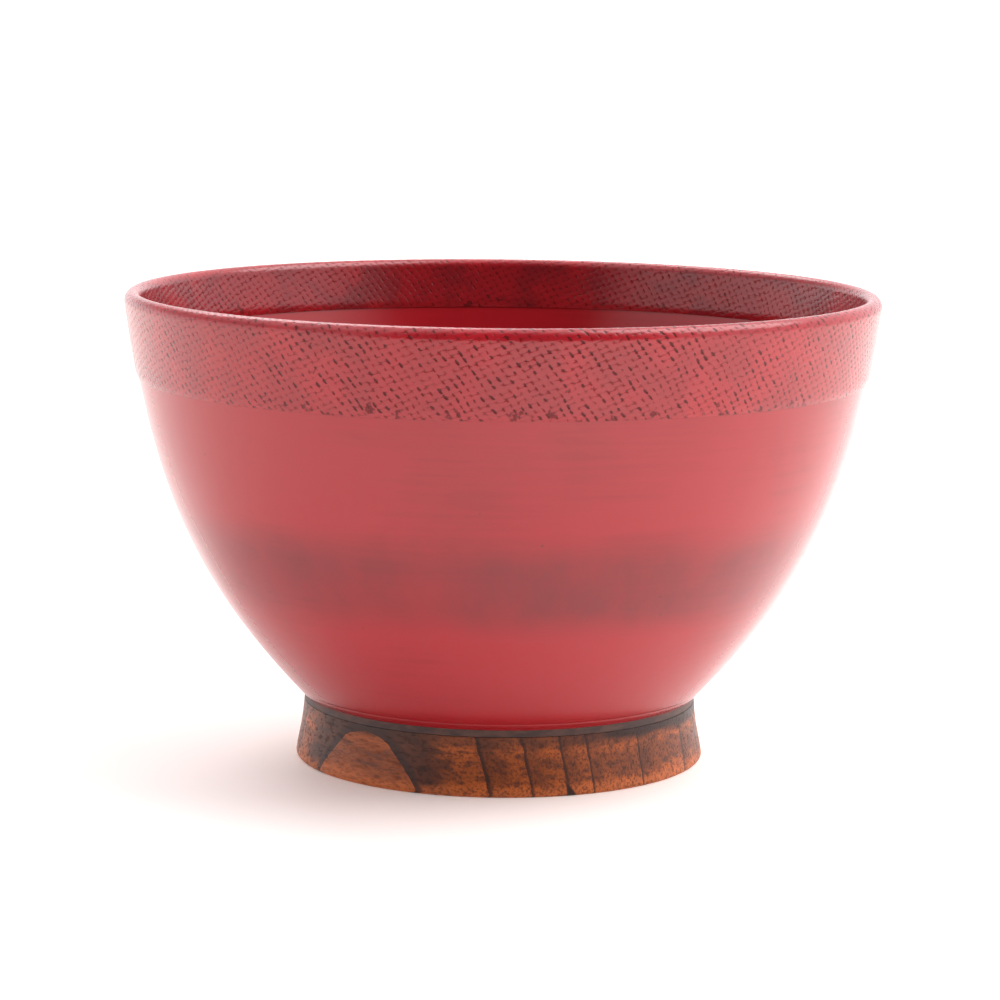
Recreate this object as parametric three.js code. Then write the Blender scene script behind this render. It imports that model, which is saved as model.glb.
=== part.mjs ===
// A lacquered wooden rice bowl, layer by layer: a turned wood core with a short tenon, the
// foot ring glued round that tenon, a strip of hemp cloth folded over the lip, a dark ground
// coat inside and outside, and red lacquer over it. The outer ground shows as a narrow dark
// collar between the bare foot ring and the red.
// Millimetres, +Z up. The origin is the centre of the foot's underside.

import * as THREE from 'three'

// Driving dimensions
const bowlHeight = 75
const redEdgeHeight = 10.4
const redEdgeRadius = 31.7
const wallTopRadius = 59.7
const lipThickness = 2.6
const lipRise = 1.6
const insideFloorHeight = 14
const collarRadius = 31.45
const ringHeight = 9.2
const ringTopRadius = 31.5
const ringBottomRadius = 32.8
const ringBoreRadius = 27.5
const ringEdge = 0.5
const ringHollow = 0.2
const recessDepth = 6.5

// Layers, counted from the finished surface of the wall into the wood
const lacquerThickness = 0.2
const groundThickness = 0.2
const bondGap = 0.05
const coreDepth = lacquerThickness + groundThickness + 2 * bondGap

// The cloth strip and its lacquer stand proud of the wall
const stripProud = 0.35
const stripLacquerThickness = 0.25
const stripEdgeOutside = 61.5
const stripEdgeInside = 66.8

// How finely the round parts are divided
const turnSegments = 36
const wallSteps = 9
const stripSteps = 2
const lipSteps = 6

// The finished wall, outside and inside, as curves of radius and height. The two middle
// points of each curve set the fullness of the belly and the roundness of the bowl's floor.
const wallTop = bowlHeight - lipRise
const innerTopRadius = wallTopRadius + 2 * stripProud - lipThickness
const outerWall = new THREE.CubicBezierCurve(
  new THREE.Vector2(redEdgeRadius, redEdgeHeight),
  new THREE.Vector2(49.6, 29.1),
  new THREE.Vector2(56.0, 45.3),
  new THREE.Vector2(wallTopRadius, wallTop)
)
const innerWall = new THREE.CubicBezierCurve(
  new THREE.Vector2(0, insideFloorHeight),
  new THREE.Vector2(34, insideFloorHeight),
  new THREE.Vector2(52, 36),
  new THREE.Vector2(innerTopRadius, wallTop)
)

// The curve's parameter at a height, by halving the interval that holds it
function parameterAtHeight(curve, height) {
  let low = 0
  let high = 1
  for (let halving = 0; halving < 40; halving++) {
    const middle = (low + high) / 2
    if (curve.getPoint(middle).y < height) low = middle
    else high = middle
  }
  return low
}

const outerStripStart = parameterAtHeight(outerWall, stripEdgeOutside)
const innerStripStart = parameterAtHeight(innerWall, stripEdgeInside)

// Points along a wall curve, moved sideways; a positive offset is to the right going up
function line(curve, offset, from, to, steps) {
  const points = []
  for (let step = 0; step <= steps; step++) {
    const t = from + ((to - from) * step) / steps
    const along = curve.getTangent(t)
    const sideways = new THREE.Vector2(along.y, -along.x)
    points.push(curve.getPoint(t).addScaledVector(sideways, offset))
  }
  return points
}

// The outer and inner wall at a depth below their finished surfaces
const outerLine = (depth, from, to, steps) => line(outerWall, -depth, from, to, steps)
const innerLine = (depth, from, to, steps) => line(innerWall, depth, from, to, steps)

// Half an ellipse over the lip, from the outer wall's end to the inner wall's end
function lipArc(depth) {
  const [outerEnd] = outerLine(depth, 1, 1, 1)
  const [innerEnd] = innerLine(depth, 1, 1, 1)
  const centre = outerEnd.clone().add(innerEnd).multiplyScalar(0.5)
  const reach = outerEnd.clone().sub(centre)
  const rise = new THREE.Vector2(0, bowlHeight - stripProud - depth - centre.y)
  const points = []
  for (let step = 1; step < lipSteps; step++) {
    const angle = (Math.PI * step) / lipSteps
    const point = centre.clone().addScaledVector(reach, Math.cos(angle))
    points.push(point.addScaledVector(rise, Math.sin(angle)))
  }
  return points
}

// Both walls of the strip at one depth, up the outside, over the lip and down the inside
function stripLine(depth) {
  return [
    ...outerLine(depth, outerStripStart, 1, stripSteps),
    ...lipArc(depth),
    ...innerLine(depth, innerStripStart, 1, stripSteps).reverse()
  ]
}

// Turns an outline about +Z. The outline runs anticlockwise seen with the radius to the right.
function turned(name, outline, material) {
  const geometry = new THREE.LatheGeometry(outline, turnSegments)
  geometry.rotateX(Math.PI / 2)
  const mesh = new THREE.Mesh(geometry, material)
  mesh.name = name
  return mesh
}

// Closes an outline that doesn't reach the axis
const closed = (outline) => [...outline, outline[0].clone()]

// The upright collar between the foot ring and the red, at a depth below its surface
function collarLine(depth) {
  const radius = collarRadius - depth
  return [
    new THREE.Vector2(radius, ringHeight + bondGap),
    new THREE.Vector2(radius, redEdgeHeight - bondGap)
  ]
}

// The bowl itself, turned from one block, with a tenon under it for the foot ring
function woodCore() {
  const tenonRadius = ringBoreRadius - bondGap
  const wood = new THREE.MeshStandardMaterial({ color: 0x8a5a34, roughness: 0.7, metalness: 0 })
  const outline = [
    new THREE.Vector2(0, recessDepth),
    new THREE.Vector2(tenonRadius, recessDepth),
    new THREE.Vector2(tenonRadius, ringHeight + bondGap),
    ...collarLine(groundThickness + bondGap),
    ...outerLine(coreDepth, 0, outerStripStart, wallSteps),
    ...outerLine(coreDepth, outerStripStart, 1, stripSteps).slice(1),
    ...lipArc(coreDepth),
    ...innerLine(coreDepth, innerStripStart, 1, stripSteps).reverse(),
    ...innerLine(coreDepth, 0, innerStripStart, wallSteps).reverse().slice(1)
  ]
  outline[outline.length - 1].x = 0
  return turned('wood_core', outline, wood)
}

// The foot ring: a slightly hollowed flare outside, eased edges below, a straight bore
function footRing() {
  const wipedWood = new THREE.MeshStandardMaterial({ color: 0x8f4f2c, roughness: 0.5, metalness: 0 })
  const flare = new THREE.QuadraticBezierCurve(
    new THREE.Vector2(ringBottomRadius, 2 * ringEdge),
    new THREE.Vector2((ringTopRadius + ringBottomRadius) / 2 - ringHollow, ringHeight / 2),
    new THREE.Vector2(ringTopRadius, ringHeight)
  )
  const outline = [
    new THREE.Vector2(ringBoreRadius + ringEdge, 0),
    new THREE.Vector2(ringBottomRadius - ringEdge, 0),
    ...flare.getPoints(3),
    new THREE.Vector2(ringBoreRadius, ringHeight),
    new THREE.Vector2(ringBoreRadius, ringEdge)
  ]
  return turned('foot_ring', closed(outline), wipedWood)
}

// The hemp strip, cut on the bias, glued over the lip and stiff with lacquer
function rimCloth() {
  const hemp = new THREE.MeshStandardMaterial({ color: 0x4a4040, roughness: 0.9, metalness: 0 })
  const clothTop = stripLacquerThickness + bondGap - stripProud
  const outside = stripLine(clothTop)
  const underside = stripLine(coreDepth - bondGap).reverse()
  return turned('rim_cloth', closed([...outside, ...underside]), hemp)
}

// The lacquer over the strip, rubbed through to the ground where the threads cross
function rimLacquer() {
  const rubbedRed = new THREE.MeshStandardMaterial({ color: 0xa83a42, roughness: 0.4, metalness: 0 })
  const outside = stripLine(-stripProud)
  const underside = stripLine(stripLacquerThickness - stripProud).reverse()
  return turned('rim_lacquer', closed([...outside, ...underside]), rubbedRed)
}

// A coat on the outside wall, from its foot line up to the strip's lower edge. The lines of
// points that lead up to the wall, outside and underneath, are empty for the red lacquer.
function outsideCoat(name, depth, thickness, material, leadOutside = [], leadUnderneath = []) {
  const top = parameterAtHeight(outerWall, stripEdgeOutside - bondGap)
  const surface = [...leadOutside, ...outerLine(depth, 0, top, wallSteps)]
  const underside = [...leadUnderneath, ...outerLine(depth + thickness, 0, top, wallSteps)]
  return turned(name, closed([...surface, ...underside.reverse()]), material)
}

// A coat on the inside wall, from the middle of the floor up to the strip's lower edge
function insideCoat(name, depth, thickness, material) {
  const top = parameterAtHeight(innerWall, stripEdgeInside - bondGap)
  const underside = innerLine(depth + thickness, 0, top, wallSteps)
  const surface = innerLine(depth, 0, top, wallSteps).reverse()
  const outline = [...underside, ...surface]
  outline[0].x = 0
  outline[outline.length - 1].x = 0
  return turned(name, outline, material)
}

const groundDepth = lacquerThickness + bondGap
const blackGround = () =>
  new THREE.MeshStandardMaterial({ color: 0x241e1f, roughness: 0.6, metalness: 0 })
const redLacquer = () =>
  new THREE.MeshStandardMaterial({ color: 0xb0303a, roughness: 0.3, metalness: 0 })

// The outer ground runs on below the red, down over the collar
function outerGround() {
  return outsideCoat('outer_ground', groundDepth, groundThickness, blackGround(),
    collarLine(0), collarLine(groundThickness))
}

const bowl = new THREE.Group()
bowl.add(
  woodCore(),
  footRing(),
  rimCloth(),
  rimLacquer(),
  outerGround(),
  outsideCoat('outer_lacquer', 0, lacquerThickness, redLacquer()),
  insideCoat('inner_ground', groundDepth, groundThickness, blackGround()),
  insideCoat('inner_lacquer', 0, lacquerThickness, redLacquer())
)

export default bowl
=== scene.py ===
"""The looks of a lacquered wooden rice bowl with a cloth strip over its lip.

Metres, +Z up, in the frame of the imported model. The bowl's parts are all turned about +Z, so
each one is a line of radius and height in section, carried round the axis. Angles round the
axis start at the front, -Y, and grow towards +X.
"""

import math

import bpy
import numpy as np
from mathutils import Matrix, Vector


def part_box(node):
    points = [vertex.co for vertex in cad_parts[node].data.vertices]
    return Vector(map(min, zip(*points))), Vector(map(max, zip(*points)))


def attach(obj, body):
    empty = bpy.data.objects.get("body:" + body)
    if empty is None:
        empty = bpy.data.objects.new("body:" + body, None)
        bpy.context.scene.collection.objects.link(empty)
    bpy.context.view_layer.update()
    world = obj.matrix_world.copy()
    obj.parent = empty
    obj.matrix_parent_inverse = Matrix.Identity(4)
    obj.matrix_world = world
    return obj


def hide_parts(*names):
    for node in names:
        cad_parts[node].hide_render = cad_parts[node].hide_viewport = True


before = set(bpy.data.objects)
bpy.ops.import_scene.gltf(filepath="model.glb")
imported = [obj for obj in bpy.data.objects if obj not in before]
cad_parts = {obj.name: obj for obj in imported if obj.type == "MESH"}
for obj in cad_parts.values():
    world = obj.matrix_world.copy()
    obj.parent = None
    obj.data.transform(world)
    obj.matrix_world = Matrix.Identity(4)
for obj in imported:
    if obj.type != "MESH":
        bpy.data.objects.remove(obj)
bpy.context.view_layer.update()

MM = 0.001

# Sizes that the frame gives
_, RIM_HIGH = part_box("rim_lacquer")
_, RING_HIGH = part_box("foot_ring")
RED_LOW, RED_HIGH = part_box("outer_lacquer")
INSIDE_LOW, INSIDE_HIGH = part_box("inner_lacquer")
COLLAR_LOW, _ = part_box("outer_ground")
CORE_LOW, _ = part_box("wood_core")
BOWL_HEIGHT = RIM_HIGH.z
STRIP_EDGE_OUTSIDE = RED_HIGH.z
STRIP_EDGE_INSIDE = INSIDE_HIGH.z

# Layers, from the finished surface of the wall into the wood
LACQUER = 0.2 * MM
GROUND = 0.2 * MM
BOND = 0.05 * MM
CORE_DEPTH = LACQUER + GROUND + 2 * BOND
STRIP_PROUD = 0.35 * MM
STRIP_LACQUER = 0.25 * MM

# The finished wall, outside and inside, as curves of radius and height
LIP_THICKNESS = 2.6 * MM
LIP_RISE = 1.6 * MM
WALL_TOP = BOWL_HEIGHT - LIP_RISE
WALL_TOP_RADIUS = 59.7 * MM
INNER_TOP_RADIUS = WALL_TOP_RADIUS + 2 * STRIP_PROUD - LIP_THICKNESS
INSIDE_FLOOR = INSIDE_LOW.z + LACQUER
OUTER_WALL = np.array([
    (31.7 * MM, RED_LOW.z),
    (49.6 * MM, 29.1 * MM),
    (56.0 * MM, 45.3 * MM),
    (WALL_TOP_RADIUS, WALL_TOP),
])
INNER_WALL = np.array([
    (0, INSIDE_FLOOR),
    (34 * MM, INSIDE_FLOOR),
    (52 * MM, 36 * MM),
    (INNER_TOP_RADIUS, WALL_TOP),
])

# The foot ring
RING_TOP_RADIUS = 31.5 * MM
RING_BORE_RADIUS = RING_TOP_RADIUS - 4 * MM
COLLAR_RADIUS = 31.45 * MM

# The weave: two sets of threads, each with a slant from the horizontal and a count round the
# rim that leaves no seam. Counts are even, so that over and under still alternate all round.
WEAVE_RADIUS = RIM_HIGH.x
RISING_SLANT = math.radians(20)
FALLING_SLANT = math.radians(-53)
RISING_COUNT = 120
FALLING_COUNT = 260
RISING_PITCH = 1.07 * MM
FALLING_PITCH = 1.16 * MM

# The sideways drift of the threads: its size in pitches, the waves that make it up, and the
# least and most turns that one wave has round the rim
DRIFT = 0.16
DRIFT_WAVES = 14
DRIFT_TURNS = (6, 60)
RANDOM = np.random.RandomState(7)

# How finely the meshes are divided: columns round the axis and rows along the section
COLUMNS = 360
STRIP_COLUMNS = 1200
STRIP_ROWS = 76
UNDERSIDE_ROWS = 7
SHARP_EDGE = math.radians(40)


# Lines in section -------------------------------------------------------------------------

def bezier(control, t):
    """Points of a cubic curve at the parameters t."""
    t = np.asarray(t, float)[:, None]
    a, b, c, d = control
    return (1 - t) ** 3 * a + 3 * t * (1 - t) ** 2 * b + 3 * t ** 2 * (1 - t) * c + t ** 3 * d


def normals(line):
    """Unit normals of a line, to the right of the way that it runs."""
    along = np.gradient(line, axis=0)
    along /= np.linalg.norm(along, axis=1)[:, None]
    return np.stack([along[:, 1], -along[:, 0]], axis=1)


def parameter_at_height(control, height):
    """The parameter at which a wall curve reaches a height."""
    t = np.linspace(0, 1, 4000)
    return float(np.interp(height, bezier(control, t)[:, 1], t))


def wall_line(control, offset, parameters):
    """A wall curve moved sideways by offset, to the right of the way up."""
    line = bezier(control, parameters)
    return line + normals(line) * offset


def outer_line(depth, start, end, steps):
    """The outside wall between two parameters, at a depth below its surface."""
    return wall_line(OUTER_WALL, -depth, np.linspace(start, end, steps + 1))


def inner_line(depth, start, end, steps):
    """The inside wall between two parameters, at a depth below its surface."""
    return wall_line(INNER_WALL, depth, np.linspace(start, end, steps + 1))


def arc(centre, radius, start, end, steps):
    """An arc in section. Angles are in degrees, anticlockwise from the outward direction."""
    angles = np.radians(np.linspace(start, end, steps + 1))
    return np.stack([centre[0] + radius * np.cos(angles), centre[1] + radius * np.sin(angles)], 1)


def evenly(line, count):
    """The same line with count points at even distances along it."""
    lengths = np.concatenate([[0], np.cumsum(np.linalg.norm(np.diff(line, axis=0), axis=1))])
    places = np.linspace(0, lengths[-1], count)
    return np.stack([np.interp(places, lengths, line[:, k]) for k in (0, 1)], 1), places


OUTER_STRIP_START = parameter_at_height(OUTER_WALL, STRIP_EDGE_OUTSIDE)
INNER_STRIP_START = parameter_at_height(INNER_WALL, STRIP_EDGE_INSIDE)


def over_lip(outer_end, inner_end, depth, steps):
    """Half an ellipse over the lip at a depth, without the two wall ends that it joins."""
    centre = (outer_end + inner_end) / 2
    rise = BOWL_HEIGHT - STRIP_PROUD - depth - centre[1]
    angles = np.linspace(0, math.pi, steps + 1)[1:-1, None]
    return centre + (outer_end - centre) * np.cos(angles) + np.array([[0, rise]]) * np.sin(angles)


def strip_line(depth):
    """Over the lip at a depth: up the outside, round the lip and down the inside."""
    up = outer_line(depth, OUTER_STRIP_START, 1, 60)
    down = inner_line(depth, INNER_STRIP_START, 1, 60)[::-1]
    return np.concatenate([up, over_lip(up[-1], down[0], depth, 40), down])


STRIP_LENGTH = evenly(strip_line(-STRIP_PROUD), 2)[1][-1]


# Meshes -----------------------------------------------------------------------------------

def make_mesh(name, points, faces):
    """An object with a smooth mesh that keeps its sharp edges."""
    mesh = bpy.data.meshes.new(name)
    mesh.from_pydata(points.tolist(), [], faces)
    mesh.update()
    mesh.shade_smooth()
    mesh.set_sharp_from_angle(angle=SHARP_EDGE)
    piece = bpy.data.objects.new(name, mesh)
    bpy.context.scene.collection.objects.link(piece)
    return piece


def turned(name, radius, height, closed):
    """A solid from its section. radius and height have one row for each point of the section,
    which runs anticlockwise, and one column for each step round. A section that isn't closed
    starts and ends on the axis."""
    rows, columns = radius.shape
    angles = np.linspace(0, 2 * np.pi, columns, endpoint=False)
    points = np.stack([radius * np.sin(angles), -radius * np.cos(angles), height], 2).reshape(-1, 3)
    faces = []
    for row in range(rows if closed else rows - 1):
        above = (row + 1) % rows
        for column in range(columns):
            beside = (column + 1) % columns
            faces.append((row * columns + column, row * columns + beside,
                          above * columns + beside, above * columns + column))
    if not closed:
        low, high = len(points), len(points) + 1
        ends = [(0, 0, height[0, 0]), (0, 0, height[-1, 0])]
        points = np.concatenate([points, ends])
        top = (rows - 1) * columns
        for column in range(columns):
            beside = (column + 1) % columns
            faces.append((low, beside, column))
            faces.append((high, top + column, top + beside))
    return make_mesh(name, points, faces)


def turned_line(name, line, closed=True, columns=COLUMNS):
    """A solid turned from one line. An open line starts and ends close to the axis."""
    line = np.asarray(line)
    spread = np.ones((1, columns))
    return turned(name, line[:, :1] * spread, line[:, 1:] * spread, closed)


# Shared arithmetic: the same formulas shape the mesh and drive the material ----------------

class Socket:
    """A node's output that arithmetic works on, so that a material's formula reads as one."""

    def __init__(self, tree, socket):
        self.tree = tree
        self.socket = socket

    def math(self, operation, *others):
        node = self.tree.nodes.new("ShaderNodeMath")
        node.operation = operation
        for place, value in zip(node.inputs, (self, *others)):
            if isinstance(value, Socket):
                self.tree.links.new(value.socket, place)
            else:
                place.default_value = value
        return Socket(self.tree, node.outputs[0])

    def __add__(self, other):
        return self.math("ADD", other)

    def __sub__(self, other):
        return self.math("SUBTRACT", other)

    def __mul__(self, other):
        return self.math("MULTIPLY", other)

    def __truediv__(self, other):
        return self.math("DIVIDE", other)

    def __rsub__(self, other):
        return self.math("MULTIPLY", -1.0).math("ADD", other)

    def __neg__(self):
        return self.math("MULTIPLY", -1.0)

    __radd__ = __add__
    __rmul__ = __mul__


class SocketMath:
    """The functions that the weave needs, for node sockets. numpy gives them for numbers."""
    floor = staticmethod(lambda x: x.math("FLOOR"))
    rint = staticmethod(lambda x: x.math("ROUND"))
    cos = staticmethod(lambda x: x.math("COSINE"))
    sqrt = staticmethod(lambda x: x.math("SQRT"))
    maximum = staticmethod(lambda x, y: x.math("MAXIMUM", y))
    minimum = staticmethod(lambda x, y: x.math("MINIMUM", y))
    mod = staticmethod(lambda x, y: x.math("FLOORED_MODULO", y))


def thread_places(along, angle, rising_wander, falling_wander):
    """How many threads of each set lie below a place: along is in metres up the strip from its
    outer edge, and angle is round the rim."""
    rising = (along * (math.cos(RISING_SLANT) / RISING_PITCH)
              - angle * (RISING_COUNT / (2 * math.pi)) + rising_wander)
    falling = (along * (math.cos(FALLING_SLANT) / FALLING_PITCH)
               + angle * (FALLING_COUNT / (2 * math.pi)) + falling_wander)
    return rising, falling


def weave_height(maths, rising, falling):
    """The height of a plain weave: 1 on the crown of a thread, near 0 between the threads.
    The crowns are rubbed flat, and lacquer fills the bottom of the gaps."""
    swing, half_width, crown, fill = 0.55, 0.5, 1.15, 0.25
    across_rising = rising - maths.floor(rising) - 0.5
    across_falling = falling - maths.floor(falling) - 0.5
    over = 1 - 2 * maths.mod(maths.floor(rising) + maths.floor(falling), 2.0)

    def roundness(across):
        return maths.sqrt(maths.maximum(1 - across * across * (1 / half_width ** 2), 0.0))

    rising_top = over * maths.cos(across_falling * math.pi) * swing + roundness(across_rising)
    falling_top = roundness(across_falling) - over * maths.cos(across_rising * math.pi) * swing
    height = maths.minimum(maths.maximum(maths.maximum(rising_top, falling_top), fill), crown)
    return (height - fill) * (1 / (crown - fill))


# Pieces -----------------------------------------------------------------------------------

def wander(along, angle):
    """A gentle sideways drift of the threads that closes on itself round the rim."""
    drift = np.zeros(np.broadcast(along, angle).shape)
    for _ in range(DRIFT_WAVES):
        turns = RANDOM.randint(*DRIFT_TURNS)
        rise = RANDOM.uniform(-1, 1) * turns / WEAVE_RADIUS
        drift += np.sin(turns * angle + rise * along + RANDOM.uniform(0, 2 * math.pi))
    return drift * DRIFT / math.sqrt(DRIFT_WAVES)


def set_strip_places(piece, along, rising_wander, falling_wander):
    """Writes each point's place on the strip, which the material reads back."""
    places = piece.data.attributes.new("strip_place", "FLOAT_VECTOR", "POINT")
    values = np.stack([along, rising_wander, falling_wander], -1).reshape(-1)
    places.data.foreach_set("vector", values)


def woven_skin(name, depth, thickness, relief, rows, columns, feather):
    """A closed skin over the lip, from the outer edge to the inner one, with the weave's relief
    pressed into its outside. feather is how far the edges take to rise to the full depth."""
    edge_thickness = 0.03 * MM
    line, along = evenly(strip_line(depth), rows)
    outward = normals(line)
    under = evenly(strip_line(depth + thickness), UNDERSIDE_ROWS)[0][::-1]
    angle = np.linspace(0, 2 * math.pi, columns, endpoint=False)[None, :]
    along = along[:, None]
    rising_wander = wander(along, angle)
    falling_wander = wander(along, angle)
    rising, falling = thread_places(along, angle, rising_wander, falling_wander)
    pressed = (weave_height(np, rising, falling) - 1) * relief
    edge = np.clip(np.minimum(along, along[-1] - along) / feather, 0, 1)
    pressed = pressed * edge - (1 - edge) ** 2 * (thickness - edge_thickness)
    radius = line[:, :1] + outward[:, :1] * pressed
    height = line[:, 1:] + outward[:, 1:] * pressed
    spread = np.ones((1, columns))
    piece = turned(name, np.concatenate([radius, under[:, :1] * spread]),
                   np.concatenate([height, under[:, 1:] * spread]), closed=True)
    below = np.zeros((len(under), columns))
    set_strip_places(piece, np.concatenate([along * spread, below]),
                     np.concatenate([rising_wander, below]),
                     np.concatenate([falling_wander, below]))
    return piece


def rim_lacquer():
    """The red on the strip, which half fills the weave and thins out at both edges."""
    return woven_skin("Rim_Lacquer", -STRIP_PROUD, STRIP_LACQUER, relief=0.055 * MM,
                      rows=STRIP_ROWS, columns=STRIP_COLUMNS, feather=1.6 * MM)


def rim_cloth():
    """The hemp strip under its lacquer, with the full relief of the weave."""
    depth = STRIP_LACQUER + BOND - STRIP_PROUD
    return woven_skin("Rim_Cloth", depth, CORE_DEPTH - BOND - depth, relief=0.13 * MM,
                      rows=STRIP_ROWS // 2, columns=STRIP_COLUMNS // 2, feather=0.1 * MM)


def collar_line(depth):
    """The upright collar between the foot ring and the red, at a depth below its surface."""
    radius = COLLAR_RADIUS - depth
    return np.array([(radius, COLLAR_LOW.z), (radius, RED_LOW.z - BOND)])


def outer_lacquer():
    """The outside red, with a rounded lower edge and a fine turned line just above it."""
    top = OUTER_STRIP_START
    line_place, line_width, line_depth = RED_LOW.z + 1.05 * MM, 0.16 * MM, 0.05 * MM
    near_line = [parameter_at_height(OUTER_WALL, line_place + away * line_width)
                 for away in np.linspace(-2.5, 2.5, 17)]
    surface = wall_line(OUTER_WALL, 0, np.unique(np.append(np.linspace(0, top, 85), near_line)))
    away = (surface[:, 1] - line_place) / line_width
    surface -= normals(surface) * (line_depth * np.exp(-away ** 2))[:, None]
    under = outer_line(LACQUER, 0, top, 16)[::-1]
    edge_centre = (surface[0] + under[-1]) / 2
    edge = arc(edge_centre, LACQUER / 2, 145, 305, 6)[1:-1]
    return turned_line("Outer_Lacquer", np.concatenate([surface, under, edge]), columns=COLUMNS * 2)


def outer_ground():
    """The dark coat under the outside red, which shows as the collar above the foot ring."""
    depth = LACQUER + BOND
    surface = np.concatenate([collar_line(0), outer_line(depth, 0, OUTER_STRIP_START, 60)])
    under_wall = outer_line(depth + GROUND, 0, OUTER_STRIP_START, 60)
    under = np.concatenate([collar_line(GROUND), under_wall])[::-1]
    return turned_line("Outer_Ground", np.concatenate([surface, under]))


def inside_coat(name, depth, thickness):
    """A coat on the inside wall. Its line stops just short of the axis at both ends."""
    under = inner_line(depth + thickness, 0.002, INNER_STRIP_START, 90)
    surface = inner_line(depth, 0.002, INNER_STRIP_START, 140)[::-1]
    return turned_line(name, np.concatenate([under, surface]), closed=False)


def wood_core():
    """The turned core with the tenon under it. Only the tenon's end shows, in the foot."""
    tenon = RING_BORE_RADIUS - BOND
    under = [(0.5 * MM, CORE_LOW.z), (tenon, CORE_LOW.z), (tenon, COLLAR_LOW.z)]
    outside = outer_line(CORE_DEPTH, 0, 1, 90)
    inside = inner_line(CORE_DEPTH, 0.002, 1, 90)[::-1]
    over = over_lip(outside[-1], inside[0], CORE_DEPTH, 12)
    collar = collar_line(GROUND + BOND)
    return turned_line("Wood_Core", np.concatenate([under, collar, outside, over, inside]),
                       closed=False)


def foot_ring():
    """The foot ring: a hollow flare outside, eased edges, and a bore with a sharp top edge."""
    outer_ease, inner_ease, top_ease = 0.55 * MM, 0.5 * MM, 0.04 * MM
    draw_in, swell = 0.45 * MM, 0.2 * MM
    bottom_radius = RING_HIGH.x
    flare = bezier(np.array([
        (bottom_radius, outer_ease),
        (bottom_radius - draw_in, 0.36 * RING_HIGH.z),
        (RING_TOP_RADIUS + swell, 0.6 * RING_HIGH.z),
        (RING_TOP_RADIUS, RING_HIGH.z - top_ease),
    ]), np.linspace(0, 1, 41))
    sole = arc((bottom_radius - outer_ease, outer_ease), outer_ease, -90, 0, 8)
    shoulder = arc((RING_TOP_RADIUS - top_ease, RING_HIGH.z - top_ease), top_ease, 0, 90, 4)
    heel = arc((RING_BORE_RADIUS + inner_ease, inner_ease), inner_ease, 180, 270, 8)
    bore_top = [(RING_BORE_RADIUS, RING_HIGH.z)]
    return turned_line("Foot_Ring", np.concatenate([sole, flare[1:], shoulder[1:], bore_top, heel]))


# Materials --------------------------------------------------------------------------------

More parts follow.
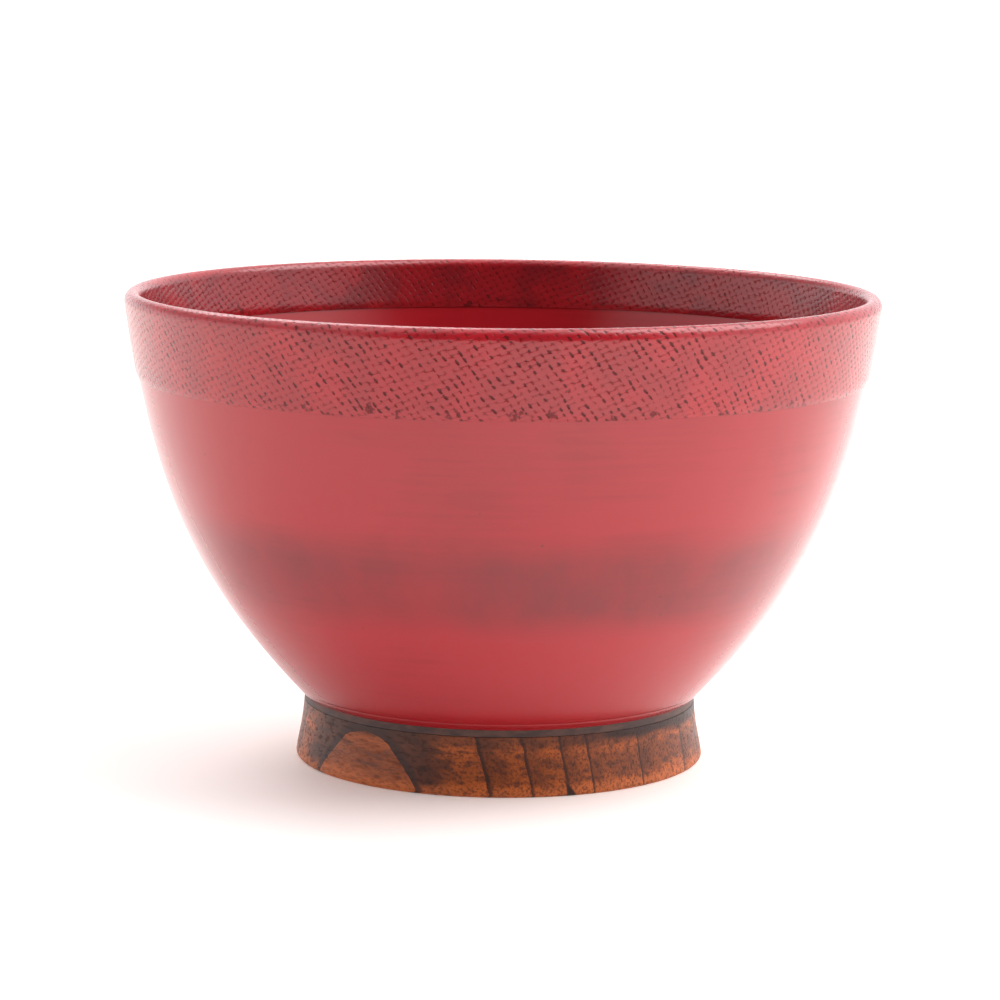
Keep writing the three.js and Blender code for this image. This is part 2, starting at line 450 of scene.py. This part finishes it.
class Material:
    """A node material with short calls for the nodes that this script uses."""

    def __init__(self, name, roughness, ior=1.5):
        self.material = bpy.data.materials.new(name)
        self.material.use_nodes = True
        self.tree = self.material.node_tree
        self.shader = self.tree.nodes["Principled BSDF"]
        self.shader.inputs["Roughness"].default_value = roughness
        self.shader.inputs["IOR"].default_value = ior
        self.place = self.tree.nodes.new("ShaderNodeTexCoord").outputs["Object"]

    def link(self, value, place):
        self.tree.links.new(value.socket if isinstance(value, Socket) else value, place)

    def axes(self, vector=None):
        """The X, Y and Z of a vector, by default of the place on the object."""
        node = self.tree.nodes.new("ShaderNodeSeparateXYZ")
        self.link(vector or self.place, node.inputs[0])
        return [Socket(self.tree, output) for output in node.outputs]

    def vector(self, x, y, z):
        node = self.tree.nodes.new("ShaderNodeCombineXYZ")
        for value, place in zip((x, y, z), node.inputs):
            if isinstance(value, Socket):
                self.link(value, place)
            else:
                place.default_value = value
        return node.outputs[0]

    def attribute(self, name):
        node = self.tree.nodes.new("ShaderNodeAttribute")
        node.attribute_name = name
        return node.outputs["Vector"]

    def noise(self, scale, detail=2.0, stretch=(1, 1, 1), vector=None, roughness=0.5,
              distortion=0.0):
        """Smooth noise from 0 to 1. scale is in features for each metre."""
        mapping = self.tree.nodes.new("ShaderNodeMapping")
        mapping.inputs["Scale"].default_value = stretch
        self.link(vector or self.place, mapping.inputs["Vector"])
        node = self.tree.nodes.new("ShaderNodeTexNoise")
        node.inputs["Scale"].default_value = scale
        node.inputs["Detail"].default_value = detail
        node.inputs["Roughness"].default_value = roughness
        node.inputs["Distortion"].default_value = distortion
        self.link(mapping.outputs[0], node.inputs["Vector"])
        return Socket(self.tree, node.outputs["Fac"])

    def white_noise(self, x, y):
        """A different number from 0 to 1 for each pair of whole numbers."""
        node = self.tree.nodes.new("ShaderNodeTexWhiteNoise")
        self.link(self.vector(x, y, 0.0), node.inputs["Vector"])
        return Socket(self.tree, node.outputs["Value"])

    def between(self, value, low, high):
        """0 below low and 1 above high, with a soft step between. high may be below low."""
        node = self.tree.nodes.new("ShaderNodeMapRange")
        node.interpolation_type = "SMOOTHSTEP"
        node.inputs["From Min"].default_value = min(low, high)
        node.inputs["From Max"].default_value = max(low, high)
        node.inputs["To Min"].default_value = 0.0 if low < high else 1.0
        node.inputs["To Max"].default_value = 1.0 if low < high else 0.0
        self.link(value, node.inputs["Value"])
        return Socket(self.tree, node.outputs["Result"])

    def mix(self, factor, first, second):
        """A colour from first at factor 0 to second at factor 1."""
        node = self.tree.nodes.new("ShaderNodeMix")
        node.data_type = "RGBA"
        self.link(factor, node.inputs["Factor"])
        for colour, place in ((first, node.inputs["A"]), (second, node.inputs["B"])):
            if isinstance(colour, tuple):
                place.default_value = (*colour, 1.0)
            else:
                self.link(colour, place)
        return next(o for o in node.outputs if o.type == "RGBA")

    def colour(self, value):
        self.link(value, self.shader.inputs["Base Color"])

    def roughness(self, value):
        self.link(value, self.shader.inputs["Roughness"])

    def mirror(self, value):
        """The colour that dims the mirror-like part of the surface."""
        self.link(value, self.shader.inputs["Specular Tint"])

    def bump(self, height, distance):
        """Relief from a height of 0 to 1, distance metres deep."""
        node = self.tree.nodes.new("ShaderNodeBump")
        node.inputs["Strength"].default_value = 1.0
        node.inputs["Distance"].default_value = distance
        self.link(height, node.inputs["Height"])
        self.link(node.outputs["Normal"], self.shader.inputs["Normal"])


RED = (0.39, 0.0105, 0.018)
DEEP_RED = (0.27, 0.007, 0.012)
SMOKY_RED = (0.17, 0.012, 0.016)
PAD_RED = (0.335, 0.0110, 0.018)
BRIGHT_PAD_RED = (0.41, 0.0125, 0.020)
# Painted shade: the next two reds darken the weave's creases and the nicks at its crossings
THREAD_EDGE_SHADE_RED = (0.15, 0.003, 0.004)
NICK_SHADE_RED = (0.130, 0.004, 0.005)
DARK_GROUND = (0.034, 0.014, 0.013)
SLIT_BROWN = (0.075, 0.008, 0.008)
COLLAR_BROWN = (0.048, 0.022, 0.019)
RUBBED_COLLAR = (0.100, 0.045, 0.034)
ORANGE_WOOD = (0.52, 0.120, 0.024)
WORN_WOOD = (0.60, 0.155, 0.040)
BROWN_WOOD = (0.21, 0.055, 0.020)
DARK_WOOD = (0.040, 0.017, 0.013)
HEMP_GAP = (0.03, 0.022, 0.02)
HEMP_THREAD = (0.16, 0.12, 0.09)
WARM_PAPER = (0.95, 0.925, 0.89)
PALE_PAPER = (0.965, 0.94, 0.905)
PAPER_GLOW = (1.0, 0.95, 0.89, 1.0)

# Heights in mm on the outside red: where the smoky band comes in and goes out, going up, and
# where painted shade darkens the red towards the foot, going down
SMOKE_COMES = (25.5, 32)
SMOKE_GOES = (44.5, 37.5)
FOOT_PAINTED_SHADE = (13.2, 10.8)

# Growth rings of the foot's wood: widths in mm, from the first ring inwards, and the place of
# the first ring's outside, in mm from the axis. The growth lines are nearly upright planes that
# face this way round from the front and lean out by GROWTH_LEAN for each mm of height.
GROWTH_RING_WIDTHS = (6.0, 5.5, 4.6, 4.7, 3.9, 9.2, 11.7, 7.0, 10.5, 6.5, 9.0)
GROWTH_START = 37.16
GROWTH_LEAN = 0.03
GROWTH_FACING = math.radians(-41)


def red_lacquer(name, darkening):
    """Brushed and rubbed red lacquer, with faint lines round the bowl, cloudy depth and a few
    specks. The second argument adds the darker band below the belly, where more of the ground
    shows, and painted shade that deepens the red towards the foot."""
    made = Material(name, 0.2, ior=1.55)
    _, y, z = made.axes()
    height = z * (1 / MM)
    brushed = made.noise(50, 3, (1, 1, 26))
    clouds = made.noise(34, 4, (1, 1, 1.5), distortion=0.5)
    fresh = made.between(clouds * 0.7 + brushed * 0.3, 0.30, 0.50) * 0.5 + 0.5
    colour = made.mix(fresh, DEEP_RED, RED)
    if darkening:
        level = height + made.noise(14, 2, (1, 1, 2)) * 5 - 2.5
        band = made.between(level, *SMOKE_COMES) * made.between(level, *SMOKE_GOES)
        smudge = made.between(made.noise(150, 5, (1, 1, 0.5), roughness=0.6), 0.25, 0.75)
        patch = made.between(made.noise(20, 2), 0.36, 0.6) * 0.4 + 0.6
        front = made.between(y, -20 * MM, -45 * MM) * 0.35 + 0.5
        colour = made.mix(band * patch * front * (smudge * 0.35 + 0.62), colour, SMOKY_RED)
        # Painted shade: the red darkens towards the foot, under the belly
        colour = made.mix(made.between(height, *FOOT_PAINTED_SHADE) * 0.6, colour, DEEP_RED)
    specks = made.between(made.noise(1000, 1), 0.80, 0.83)
    made.colour(made.mix(specks * 0.6, colour, DARK_GROUND))
    made.roughness(brushed * 0.06 + clouds * 0.06 + 0.15)
    return made.material


def threads_here(made):
    """The place on the strip and the place among its threads, from the mesh's own attribute."""
    x, y, _ = made.axes()
    angle = x.math("ARCTAN2", -y)
    along, rising_wander, falling_wander = made.axes(made.attribute("strip_place"))
    rising, falling = thread_places(along, angle, rising_wander, falling_wander)
    return along, angle, rising, falling


def crossing_random(made, rising, falling):
    """A different number from 0 to 1 for each crossing of a rising and a falling thread."""
    return made.white_noise(SocketMath.mod(rising, float(RISING_COUNT)),
                            SocketMath.mod(falling, float(FALLING_COUNT)))


def thread_edge(made, across, along, parity, width):
    """A thin line along the boundaries of one set of threads, 1 on the line, where the material
    paints shade in the crease. It steps to and fro as the threads of the other set pass over and
    under, and it is faint away from them."""
    boundary = SocketMath.rint(across)
    crossed = SocketMath.floor(along)
    middle = along - crossed - 0.5
    side = (1 - 2 * SocketMath.mod(boundary + crossed, 2.0)) * parity
    step = SocketMath.minimum(SocketMath.cos(middle * math.pi) * 2.2, 1.0) * side * 0.11
    away = (across - boundary - step).math("ABSOLUTE")
    strength = crossing_random(made, boundary * 3 + 1, crossed * 7 + 2)
    near = made.between(middle.math("ABSOLUTE"), 0.08, 0.42) * 0.65 + 0.35
    return made.between(away, width, 0.0) * made.between(strength, -0.3, 0.9) * near


def stained_pads(made, along, clouds):
    """The colour of the lacquer on the threads: dull red, with smoky stains inside the bowl."""
    pad = made.mix(made.between(clouds, 0.35, 0.68), PAD_RED, BRIGHT_PAD_RED)
    inside = made.between(along, STRIP_LENGTH - 8 * MM, STRIP_LENGTH - 7 * MM)
    stains = made.between(made.noise(110, 4, roughness=0.6), 0.42, 0.62)
    return made.mix(inside * (stains * 0.5 + 0.25), pad, SMOKY_RED)


def slits_and_nicks(made, along, angle, rising, falling):
    """Where the ground shows at the crossings. A slit or a blot is rubbed down to the ground:
    more of the crossings have one near the strip's edges and in front. A nick is the shallow
    hollow that every crossing has, which the material darkens as painted shade."""
    nearest_rising = SocketMath.rint(rising)
    nearest_falling = SocketMath.rint(falling)
    chance = crossing_random(made, nearest_rising, nearest_falling)
    length = crossing_random(made, nearest_rising + 31, nearest_falling + 17)
    from_rising = (rising - nearest_rising + length * 0.3 - 0.15) / (length * 0.28 + 0.20)
    from_falling = (falling - nearest_falling) * (1 / 0.15)
    ragged = made.noise(3200, 2) - 0.5
    away = SocketMath.sqrt(from_rising * from_rising + from_falling * from_falling) + ragged * 0.8

    outer_edge = made.between(along, 2.8 * MM, 0.9 * MM)
    inner_edge = made.between(along, STRIP_LENGTH - 5 * MM, STRIP_LENGTH - 1 * MM)
    front = made.between((angle - 0.1).math("ABSOLUTE"), 1.15, 0.35) * 0.2 - 0.1
    worn = made.noise(75, 3, roughness=0.6) + outer_edge * 0.1 + front
    share = made.between(worn, 0.36, 0.76) * 0.5 + 0.02
    size = made.between(chance - share, 0.16, -0.16)
    slit = made.between(away - size * 1.3, 0.06, -0.30)
    nick = made.between(away, 1.0, 0.4) * (length * 0.6 + 0.4)
    blot = made.noise(420, 3, roughness=0.65) + share * 0.15 + (inner_edge + outer_edge) * 0.09
    dark = SocketMath.maximum(slit, made.between(blot, 0.73, 0.79) * 0.85) * 0.75
    return dark, nick


def rubbed_lacquer(name):
    """Red lacquer on the weave: dull red pads with thin deep-red lines of painted shade between
    them, and dark slits at many of the crossings, where the ground was rubbed bare or never
    covered."""
    made = Material(name, 0.24, ior=1.55)
    along, angle, rising, falling = threads_here(made)
    rising = rising + made.noise(1500, 2) * 0.22 - 0.11
    falling = falling + made.noise(1300, 2) * 0.22 - 0.11
    clouds = made.noise(120, 3)
    broken = made.between(made.noise(800, 1), 0.36, 0.54) * 0.8 + 0.2
    edge = SocketMath.maximum(thread_edge(made, rising, falling, -1.0, 0.18),
                              thread_edge(made, falling, rising, 1.0, 0.15) * 0.7) * broken
    dark, nick = slits_and_nicks(made, along, angle, rising, falling)

    # Painted shade: darker red in the creases between the threads and in the nicks at the crossings
    colour = made.mix(edge * 0.9, stained_pads(made, along, clouds), THREAD_EDGE_SHADE_RED)
    colour = made.mix(nick * 0.75, colour, NICK_SHADE_RED)
    made.colour(made.mix(dark, colour, SLIT_BROWN))
    dull = SocketMath.maximum(dark, SocketMath.maximum(edge * 0.6, nick * 0.8))
    made.mirror(made.mix(dull, (1.0, 1.0, 1.0), (0.2, 0.2, 0.2)))
    made.roughness(clouds * 0.06 + dark * 0.06 + edge * 0.08 + 0.18)
    made.bump(1 - SocketMath.maximum(edge * 0.8, nick * 0.8) - dark * 0.2, 0.035 * MM)
    return made.material


def past_growth_line(depth):
    """How far a depth into the tree lies past the last growth line outside it, in mm."""
    past = None
    start = GROWTH_START
    for width in GROWTH_RING_WIDTHS:
        beyond = start - depth
        beyond = beyond + beyond.math("LESS_THAN", 0.0) * 99.0
        past = beyond if past is None else SocketMath.minimum(past, beyond)
        start -= width
    return past


def wiped_wood(name, wiped):
    """Ring-porous wood under thin dark lacquer, wiped back to orange on the edges. The growth
    lines are upright planes and the pores run level along them. wiped is how dark the lacquer
    was left between the edges."""
    made = Material(name, 0.42, ior=1.36)
    x, y, z = [axis * (1 / MM) for axis in made.axes()]
    depth = x * math.sin(GROWTH_FACING) - y * math.cos(GROWTH_FACING)
    fibre = x * math.cos(GROWTH_FACING) + y * math.sin(GROWTH_FACING)
    grain = made.vector(depth, fibre * 0.16, z)
    sway = made.noise(0.9, 3, (1, 1, 0.5), vector=grain) - 0.5
    depth = depth - z * GROWTH_LEAN - made.between(z, 6.8, 9.0) * 0.2
    past = past_growth_line(depth + sway * (made.between(depth, 30.0, 27) * 0.6 + 0.12))
    pores = made.noise(2.6, 2, (1, 1, 0.75), vector=grain, roughness=0.6)
    speckle = made.noise(5.0, 1, (1, 1, 0.7), vector=grain)
    streaks = made.noise(0.8, 4, (0.8, 1, 1.3), vector=grain)
    late = made.between(past + streaks * 1.8, 4.4, 2.2)
    line = made.between(past, 0.55, 0.2)

    # Dark lacquer left round the middle and under the collar, and wood worn bare at the bottom
    cloud = made.noise(260, 4, (1, 1, 1.3), roughness=0.6)
    level = z + (cloud - 0.5) * 6
    darkening = made.between(level, 1.4, 3.2) * made.between(level, 7.8, 5.4)
    darkening = SocketMath.maximum(darkening, made.between(z + cloud * 1.6, 7.2, 9.4) * 1.9)
    worn = made.between(z + cloud * 1.6, 2.9, 1.7)

    # The first ring, which the flare cuts as a plain arch, and a dark wedge at one growth line
    first = made.between(depth, 31.1, 31.3)
    chip = made.between(depth - z * 0.6, 14.8, 15.2) * made.between(depth, 16.6, 16.3)

    colour = made.mix(made.between(streaks, 0.30, 0.56), BROWN_WOOD, ORANGE_WOOD)
    colour = made.mix(SocketMath.maximum(late * 0.5, first * 0.3), colour, BROWN_WOOD)
    colour = made.mix(late * (made.between(depth, 24, 27) * 0.55 + 0.15), colour, DARK_WOOD)
    colour = made.mix(worn * 0.7, colour, WORN_WOOD)
    porous = 0.55 - first * 0.4
    colour = made.mix(made.between(pores, 0.50, 0.62) * porous, colour, DARK_WOOD)
    colour = made.mix(made.between(speckle, 0.52, 0.64) * 0.35, colour, DARK_WOOD)
    wiped_right = (made.between(depth, 14, 6) * 0.6 + 0.85) * wiped
    colour = made.mix(darkening * wiped_right, colour, DARK_WOOD)
    colour = made.mix(SocketMath.maximum(line * 0.8, chip), colour, DARK_WOOD)
    made.colour(colour)
    pitted = made.between(pores, 0.5, 0.66)
    made.roughness(pitted * 0.2 + cloud * 0.15 + 0.32)
    made.bump(1 + streaks * 0.3 - pitted * 0.7 - line * 0.3, 0.04 * MM)
    return made.material


def ground_coat(name):
    """The dark ground: brown-black, rubbed browner in places where it shows as the collar."""
    made = Material(name, 0.5, ior=1.45)
    rubbed = made.noise(260, 4, (1, 1, 3), roughness=0.6)
    made.colour(made.mix(made.between(rubbed, 0.38, 0.66), COLLAR_BROWN, RUBBED_COLLAR))
    made.roughness(rubbed * 0.2 + 0.4)
    made.bump(rubbed, 0.02 * MM)
    return made.material


def hemp(name):
    """The strip's cloth, stiff and dark with lacquer."""
    made = Material(name, 0.8)
    _, _, rising, falling = threads_here(made)
    height = weave_height(SocketMath, rising, falling)
    fibres = made.noise(3000, 2)
    made.colour(made.mix(height * 0.6 + fibres * 0.4, HEMP_GAP, HEMP_THREAD))
    made.roughness(fibres * 0.2 + 0.7)
    made.bump(height + fibres * 0.3, 0.1 * MM)
    return made.material


def pale_floor(name):
    """Warm white paper. It glows a little, and least to the left where the shadow falls."""
    made = Material(name, 0.6)
    made.colour(made.mix(made.noise(3, 2), WARM_PAPER, PALE_PAPER))
    made.shader.inputs["Specular IOR Level"].default_value = 0.2
    x, _, _ = made.axes()
    glow = made.between(x, -0.08, 0.08) * 0.3 + made.between(x, -0.1, -0.4) * 0.4 + 0.04
    made.shader.inputs["Emission Color"].default_value = PAPER_GLOW
    made.link(glow, made.shader.inputs["Emission Strength"])
    return made.material


# Studio -----------------------------------------------------------------------------------

def make_floor():
    """A table that ends a little way in front of the bowl and runs far to the back and sides."""
    front, far = -0.42, 12.0
    points = np.array([(-far, front, 0), (far, front, 0), (far, far, 0), (-far, far, 0)])
    floor = make_mesh("Floor", points, [(0, 1, 2, 3)])
    floor.data.materials.append(pale_floor("Floor_Paper"))


def make_camera():
    """Set back in front of the bowl, a little above the lip, looking slightly down."""
    distance, height = 553 * MM, 126.5 * MM
    pitch, roll = math.radians(8.77), 0.0101
    camera = bpy.data.objects.new("Camera", bpy.data.cameras.new("Camera"))
    camera.data.lens = 125.4
    camera.data.sensor_width = 36
    camera.data.clip_start = 0.01
    camera.data.clip_end = 50
    camera.location = (-0.2 * MM, -distance, height)
    camera.rotation_mode = "XYZ"
    camera.rotation_euler = (math.pi / 2 - pitch, 0, 0)
    camera.rotation_euler.rotate_axis("Z", roll)
    bpy.context.scene.collection.objects.link(camera)
    bpy.context.scene.camera = camera


def ramp(value, slope):
    """A value times slope, held between 0 and 1."""
    return SocketMath.minimum(SocketMath.maximum(value * slope, 0.0), 1.0)


def make_world():
    """A white surround for the lacquer to reflect, with a dark gap in front and a dimmer patch
    part of the way up on the left. The camera itself sees plain white."""
    world = bpy.data.worlds.new("Studio")
    world.use_nodes = True
    tree = world.node_tree
    background = tree.nodes["Background"]
    background.inputs["Color"].default_value = (0.98, 0.985, 1.0, 1.0)
    place = tree.nodes.new("ShaderNodeTexCoord").outputs["Generated"]
    split = tree.nodes.new("ShaderNodeSeparateXYZ")
    tree.links.new(place, split.inputs[0])
    x, y, z = [Socket(tree, output) for output in split.outputs]
    front = -y - x.math("ABSOLUTE") * 0.42 + x * 0.08
    gap = ramp(front - 0.12, 2.2)
    left_patch = ramp(-x - 0.1, 2.0) * ramp(z - 0.1, 4.0) * ramp(0.8 - z, 2.5)
    dim = SocketMath.maximum(gap, left_patch * 0.7)
    seen = Socket(tree, tree.nodes.new("ShaderNodeLightPath").outputs["Is Camera Ray"])
    strength = (1 - dim * 0.97) * (1 - seen) * (1 - x * 0.1) * 1.6 + seen * 1.1
    tree.links.new(strength.socket, background.inputs["Strength"])
    bpy.context.scene.world = world


def make_light(name, place, aim, size, power):
    """A round soft light of a size in metres and a power in watts, pointed at aim."""
    light = bpy.data.objects.new(name, bpy.data.lights.new(name, "AREA"))
    light.data.shape = "DISK"
    light.data.size = size
    light.data.energy = power
    light.location = place
    direction = Vector(aim) - Vector(place)
    light.rotation_mode = "QUATERNION"
    light.rotation_quaternion = direction.to_track_quat("-Z", "Y")
    bpy.context.scene.collection.objects.link(light)


def finish_piece(piece, node, material):
    """Gives a piece its material, puts it on the only body and hides the CAD node that it replaces.
    """
    piece.data.materials.append(material)
    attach(piece, "root")
    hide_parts(node)
    return piece


make_camera()
make_floor()
make_world()
make_light("Key", (0.6, 0.0, 0.85), (0, 0, 0), 0.9, 7.5)
make_light("Fill", (-0.3, 0.7, 0.9), (0, 0, 0), 0.7, 4)

ground = ground_coat("Dark_Ground")
finish_piece(wood_core(), "wood_core", wiped_wood("Core_Wood", 0.3))
finish_piece(foot_ring(), "foot_ring", wiped_wood("Foot_Wood", 0.38))
finish_piece(rim_lacquer(), "rim_lacquer", rubbed_lacquer("Rubbed_Lacquer"))
finish_piece(outer_ground(), "outer_ground", ground)
finish_piece(inside_coat("Inner_Ground", LACQUER + BOND, GROUND), "inner_ground",
             ground)
finish_piece(outer_lacquer(), "outer_lacquer", red_lacquer("Outer_Red", darkening=True))
finish_piece(inside_coat("Inner_Lacquer", 0, LACQUER), "inner_lacquer",
             red_lacquer("Inner_Red", darkening=False))
cloth = finish_piece(rim_cloth(), "rim_cloth", hemp("Hemp_Cloth"))
cloth_line = strip_line(0)

bpy.context.scene.view_settings.view_transform = "Standard"
